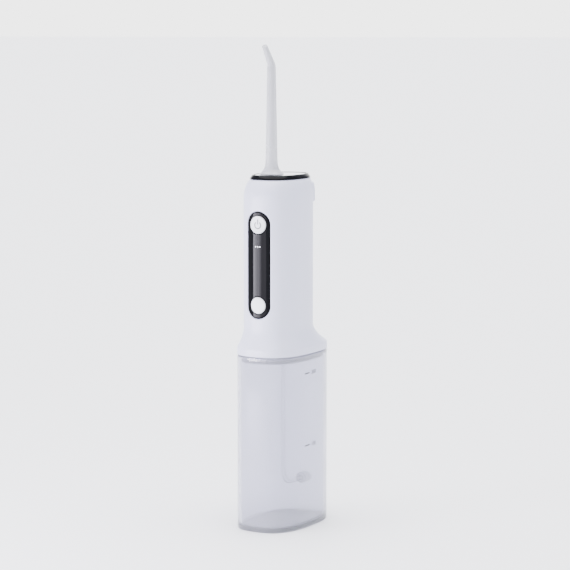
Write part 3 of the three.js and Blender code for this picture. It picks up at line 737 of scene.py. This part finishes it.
def make_cap():
    """The head's cap: a rounded edge, then a low crown that rises towards the nozzle's hole."""
    low, high = node_box("top_cap")
    inset = HEAD[0] - high.x
    edge, crown, hole_radius = 0.25, 0.12, 4.4
    rise = high.z - crown - edge
    rings = [section_ring(HEAD, low.z, inset)]
    rings += [section_ring(HEAD, rise + edge * s, inset + edge * c) for s, c in quarter()]
    for share in steps(0.08, 0.86, 0.06):
        ring = section_ring(HEAD, high.z - crown * (1 - share), inset + edge)
        centre = Vector((0, NOZZLE_Y, ring[0].z))
        rings.append([p.lerp(centre, share) for p in ring])
    cap = loft("head_cap", rings)
    ends = (low.z - 1, high.z + 1)
    hole = loft("nozzle_hole", [round_ring(hole_radius, NOZZLE_Y, z, 63) for z in ends])
    combine(cap, hole, "DIFFERENCE")
    finish_piece(cap, "handle", "cap_white", "top_cap")


# ---- Nozzle ----------------------------------------------------------------


def make_nozzle():
    """A round stem with a flared foot and a bent tip, hollow from end to end."""
    foot_z, foot_height, bend_z, tip = 213.35, 12.0, 276.3, 11.8
    lean, bend_radius = math.pi / 5, 6.0
    shaft_low, shaft_high, tip_low, tip_high = 3.48, 2.6, 2.2, 1.6  # radii
    bore_radius, jet_radius, jet_from = 1.1, 0.45, 1.7  # the bore narrows where the tip is this thin
    stem = [(197.2, 2.4), (197.4, 2.6), (197.8, 2.6), (198.0, 2.1), (200.0, 2.1), (200.2, 2.6)]
    stem += [(204.4, 2.6), (204.45, 2.0), (205.55, 2.0), (205.6, 2.6), (foot_z - 0.02, 2.6)]
    foot = [(foot_z, 7.1), (foot_z + 0.2, 7.4), (foot_z + 0.55, 7.35)]
    for height in steps(0.85, foot_height, 0.6):
        flare = 3.95 * math.exp(-(height - 0.5) / 2.35)
        foot.append((foot_z + height, 3.45 + flare))
    shaft = []
    for z in steps(foot_z + foot_height, bend_z, 1.4)[1:]:
        share = (z - foot_z - foot_height) / (bend_z - foot_z - foot_height)
        shaft.append((z, shaft_low + (shaft_high - shaft_low) * share))

    # Each station is the middle line's y and z, how far it leans forwards there, and the radius.
    stations = [(NOZZLE_Y, z, 0.0, radius) for z, radius in stem + foot + shaft]
    for angle in steps(0, lean, lean / 10)[1:]:
        y = NOZZLE_Y - bend_radius * (1 - math.cos(angle))
        z = bend_z + bend_radius * math.sin(angle)
        stations.append((y, z, angle, shaft_high + (tip_low - shaft_high) * angle / lean))
    bend_y, bend_end = stations[-1][:2]
    soft, ease = 0.1, 0.12  # the tip's end is chamfered by this much along and across
    taper = (tip_high - tip_low) / tip
    ends = [(along, tip_low + taper * along) for along in steps(0, tip, 1.0)[1:-1]]
    ends += [(tip - soft, tip_high), (tip, tip_high - ease)]
    for along, radius in ends:
        y, z = bend_y - along * math.sin(lean), bend_end + along * math.cos(lean)
        stations.append((y, z, lean, radius))

    def ring(y, z, angle, radius, sides=64):
        across, up = math.cos(angle), math.sin(angle)
        points = []
        for turn in around(sides):
            u, v = radius * math.cos(turn), radius * math.sin(turn)
            points.append(Vector((u, y + v * across, z + v * up)))
        return points

    bore = [stations[0]] + [s for s in stations if s[1] > foot_z + 3][::2] + [stations[-1]]
    bore = [(y, z, angle, bore_radius if r > jet_from else jet_radius) for y, z, angle, r in bore]
    rings = [ring(*station) for station in stations + bore[::-1]]
    finish_piece(loft("nozzle_stem", rings, closed=True), "nozzle", "nozzle_clear", "nozzle")


# ---- Rear of the handle ----------------------------------------------------


def make_release():
    """The release button: a raised pad that wraps the back of the head."""
    profile = edge_profile(0.5, proud=1.15, back=1.1)
    pad = set_in("release_pad", *RELEASE_OUTLINE, profile, rear_skin, inner=16)
    finish_piece(pad, "release", "shell_white", "release_button")


def make_port_cover():
    """The rubber flap over the charging socket, flush with the shell."""
    cover = set_in("port_flap", *PORT_OUTLINE, edge_profile(0.3, back=1.5), rear_skin)
    finish_piece(cover, "port_cover", "white_rubber", "port_cover")


# ---- Printed level marks ---------------------------------------------------


def make_level_marks():
    """Two level ticks with their numbers on the tank's right side."""
    half_x, half_y, _, power = TANK
    half_stroke, sunk, lift = 0.35, -0.05, MARK_LIFT - 0.005
    corners = ((-half_stroke, sunk), (-half_stroke, lift), (half_stroke, lift), (half_stroke, sunk))
    tick_start, tick_end, number_start, number_size = -9.0, -3.6, -1.6, 3.7

    def on_side(y, z, out):
        """The point of the tank's right side at y and z, moved outwards."""
        share = min(1.0, abs(y / half_y) ** power)
        return Vector(((half_x - MARK_LIFT) * (1 - share) ** (1 / power) + out, y, z))

    for label, z in (("200", 94.3), ("100", 50.5)):
        rings = [
            [on_side(y, z + height, out) for height, out in corners]
            for y in steps(tick_start, tick_end, 0.5)
        ]
        tick = loft(f"level_tick_{label}", rings)
        finish_piece(tick, "tank", "tank_frosted", look="print_grey")
        curve = bpy.data.curves.new(f"level_number_{label}", "FONT")
        curve.body, curve.size, curve.extrude = label, number_size, lift
        curve.align_y = "CENTER"
        letters = bpy.data.objects.new("letters", curve)
        bpy.context.scene.collection.objects.link(letters)
        bpy.context.view_layer.update()
        mesh = bpy.data.meshes.new_from_object(letters)
        bpy.data.objects.remove(letters)
        points = [on_side(number_start + v.co.x, z + v.co.y, v.co.z) for v in mesh.vertices]
        faces = [tuple(p.vertices) for p in mesh.polygons]
        number = object_from(f"level_number_{label}", points, faces)
        finish_piece(number, "tank", "tank_frosted", look="print_grey")


# ---- Everything else keeps its CAD shape -----------------------------------


def dress_cad_nodes():
    """Gives each CAD node that is still shown the material of its slot."""
    slots = {entry["node"]: entry["material_slot"] for entry in frame["record"]["subparts"]}
    for name, obj in frame["nodes"].items():
        obj.data.materials.clear()
        obj.data.materials.append(LOOKS[slots[name]])


# ---- Camera, floor and lights ----------------------------------------------


def make_camera():
    """The main view: a long lens, a little above the object and to its front right."""
    distance, height, pitch, yaw = 1300.0, 298.7, 6.69, -0.17
    azimuth = math.radians(CAMERA_AZIMUTH)
    eye = Vector((math.sin(azimuth) * distance, BODY[2] - math.cos(azimuth) * distance, height))
    data = bpy.data.cameras.new("camera")
    data.lens, data.sensor_width = 137.3, 36  # millimetres
    data.clip_start, data.clip_end = 0.01, 200
    camera = bpy.data.objects.new("camera", data)
    camera.location = eye * MM
    camera.rotation_euler = (math.radians(90 - pitch), 0, math.radians(CAMERA_AZIMUTH + yaw))
    bpy.context.scene.collection.objects.link(camera)
    bpy.context.scene.camera = camera


def make_stage():
    """A plain pale floor that reaches to the horizon."""
    half = 80.0 / MM
    corners = [(-half, -half, 0), (half, -half, 0), (half, half, 0), (-half, half, 0)]
    floor = object_from("floor", corners, [(0, 1, 2, 3)])
    look = Look("floor_pale", (0.93, 0.93, 0.94), 0.6).vary_roughness(3, 0.55, 0.65)
    floor.data.materials.append(look.material)


def turned(azimuth, elevation):
    """The direction towards an azimuth (0 is the front, 90 the right) and an elevation in degrees."""
    a, e = math.radians(azimuth), math.radians(elevation)
    return Vector((math.sin(a) * math.cos(e), -math.cos(a) * math.cos(e), math.sin(e)))


def add_light(name, kind, direction, distance=1.0, aim=(0, 0, 0.15), **settings):
    """A light that faces the object from a direction."""
    data = bpy.data.lights.new(name, kind)
    for key, value in settings.items():
        setattr(data, key, value)
    light = bpy.data.objects.new(name, data)
    light.location = Vector(aim) + direction * distance
    light.rotation_euler = (-direction).to_track_quat("-Z", "Y").to_euler()
    light.visible_camera = False
    bpy.context.scene.collection.objects.link(light)


def math_node(nodes, operation, *values):
    """A math node whose inputs after the first hold values."""
    node = nodes.new("ShaderNodeMath")
    node.operation = operation
    for socket, value in zip(node.inputs[1:], values):
        socket.default_value = value
    return node


def make_world():
    """A cool, even room with a bright backdrop behind the object. Matte surfaces get little light from
    the backdrop, and the camera sees its brightness wherever it looks."""
    held_back = 0.85  # the share of the backdrop's brightness that matte surfaces don't get
    world = bpy.data.worlds.new("studio")
    world.use_nodes = True
    nodes, links = world.node_tree.nodes, world.node_tree.links
    toward = nodes.new("ShaderNodeVectorMath")
    toward.operation = "DOT_PRODUCT"
    toward.inputs[1].default_value = turned(CAMERA_AZIMUTH + 180, 4)
    level = nodes.new("ShaderNodeMapRange")
    level.interpolation_type = "SMOOTHSTEP"
    level.inputs["From Min"].default_value = 0.72
    level.inputs["From Max"].default_value = 0.95
    tint = nodes.new("ShaderNodeMix")
    tint.data_type = "RGBA"
    tint.inputs["A"].default_value = (0.62, 0.65, 0.84, 1)
    tint.inputs["B"].default_value = (4.0, 4.0, 4.0, 1)
    rays = nodes.new("ShaderNodeLightPath")
    matte = math_node(nodes, "MULTIPLY_ADD", -held_back, 1.0)
    share = math_node(nodes, "MULTIPLY")
    seen = math_node(nodes, "MAXIMUM")
    links.new(rays.outputs["Is Diffuse Ray"], matte.inputs[0])
    links.new(nodes.new("ShaderNodeTexCoord").outputs["Generated"], toward.inputs[0])
    links.new(toward.outputs["Value"], level.inputs["Value"])
    links.new(level.outputs["Result"], share.inputs[0])
    links.new(matte.outputs["Value"], share.inputs[1])
    links.new(share.outputs["Value"], seen.inputs[0])
    links.new(rays.outputs["Is Camera Ray"], seen.inputs[1])
    links.new(seen.outputs["Value"], tint.inputs["Factor"])
    links.new(tint.outputs["Result"], nodes["Background"].inputs["Color"])
    bpy.context.scene.world = world


def make_lights():
    """A broad light overhead, and a fading row of strip softboxes with a wide dim one beside them,
    which give the glossy panel its upright highlight."""
    add_light("overhead", "SUN", turned(0, 90), energy=10.0, angle=math.radians(75))
    softbox = dict(
        distance=0.55, aim=(0, 0, 0.075), shape="RECTANGLE", size_y=0.12, color=(0.91, 0.87, 1.0)
    )
    first, spacing, height, width = -38.9, 4.9, 3, 0.048  # degrees, and metres for the width
    for number, energy in enumerate((1.5, 1.15, 0.8, 0.4)):
        direction = turned(first + spacing * number, height)
        add_light(f"softbox_{number}", "AREA", direction, size=width, energy=energy, **softbox)
    add_light("softbox_edge", "AREA", turned(-11.5, height), size=0.19, energy=0.6, **softbox)


make_camera()
make_stage()
make_world()
make_lights()
dress_cad_nodes()
make_tank()
make_collar()
make_gasket()
make_suction()
make_shell()
make_panel()
make_indicators()
make_power_mark(make_button("power_cap", "power_button", *POWER_BUTTON), POWER_BUTTON[1])
make_button("mode_cap", "mode_button", *MODE_BUTTON)
make_trim()
make_cap()
make_nozzle()
make_release()
make_port_cover()
make_level_marks()
